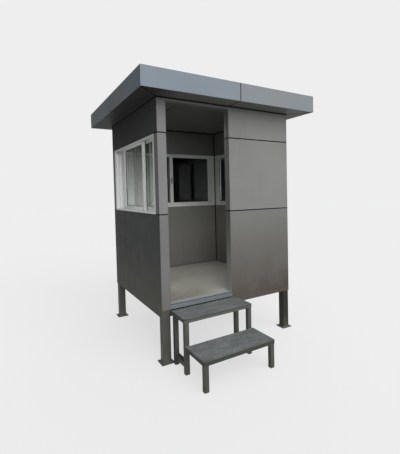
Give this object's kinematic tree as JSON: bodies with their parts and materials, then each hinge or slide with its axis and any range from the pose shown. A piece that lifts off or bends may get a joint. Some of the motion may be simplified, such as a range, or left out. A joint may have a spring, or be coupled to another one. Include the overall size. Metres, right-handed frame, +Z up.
{
  "type": "security guard booth",
  "caption": "Small square guard booth on steel legs, clad in grey composite panels, with an open doorway, sliding windows, an overhanging flat roof and a step unit at the door.",
  "frame": {"origin": "on the ground, midway across the booth and midway between the front of the steps and the back edge of the roof", "axes": "+Z up; the doorway and the steps face -Y; +X is to the right when looking in through the doorway"},
  "size_m": [1.908, 2.289, 2.528],
  "materials": {
    "steel_frame": "satin grey paint on steel tube, lightly scuffed",
    "wall_panel": "satin grey coated composite sheet",
    "wall_lining": "satin grey coated composite sheet on a filled wall",
    "roof_panel": "satin grey coated composite sheet",
    "soffit_board": "satin grey coated composite sheet",
    "roof_sheet": "weathered coated sheet, sealed joints",
    "floor_board": "matt greenish grey floor covering with dust and scuffs",
    "sill_trim": "satin blue-grey folded sheet",
    "window_aluminium": "light grey satin extrusion",
    "window_glass": "clear float glass, slightly green",
    "tread_plate": "dark grey-green textured anti-slip plate"
  },
  "bodies": {
    "root": {"back_panel_lower": "wall_panel", "back_panel_upper": "wall_panel", "back_wall_core": "wall_lining", "back_window_frame": "window_aluminium", "back_window_panes": "window_glass", "back_window_sashes": "window_aluminium", "ceiling_panel": "soffit_board", "corner_cladding": "wall_panel", "corner_post_back_left": "steel_frame", "corner_post_back_right": "steel_frame", "corner_post_front_left": "steel_frame", "corner_post_front_right": "steel_frame", "door_head": "wall_panel", "door_post": "steel_frame", "door_sill": "sill_trim", "fascia_back": "roof_panel", "fascia_front": "roof_panel", "fascia_left": "roof_panel", "fascia_right": "roof_panel", "floor_beams": "steel_frame", "floor_joists": "steel_frame", "floor_panel": "floor_board", "foot_plates": "steel_frame", "front_panel_lower": "wall_panel", "front_panel_middle": "wall_panel", "front_panel_upper": "wall_panel", "front_post_cladding": "wall_panel", "front_wall_core": "wall_lining", "left_panel_lower": "wall_panel", "left_panel_upper": "wall_panel", "left_wall_core": "wall_lining", "left_window_frame": "window_aluminium", "left_window_panes": "window_glass", "left_window_sashes": "window_aluminium", "right_panel_lower": "wall_panel", "right_panel_upper": "wall_panel", "right_wall_core": "wall_lining", "right_window_frame": "window_aluminium", "right_window_panes": "window_glass", "right_window_sashes": "window_aluminium", "roof_bearers": "steel_frame", "roof_deck": "roof_sheet", "roof_joists": "steel_frame", "soffit_panels": "soffit_board", "step_braces": "steel_frame", "step_legs": "steel_frame", "step_lower_tread": "tread_plate", "step_upper_tread": "tread_plate"}
  },
  "joints": []
}
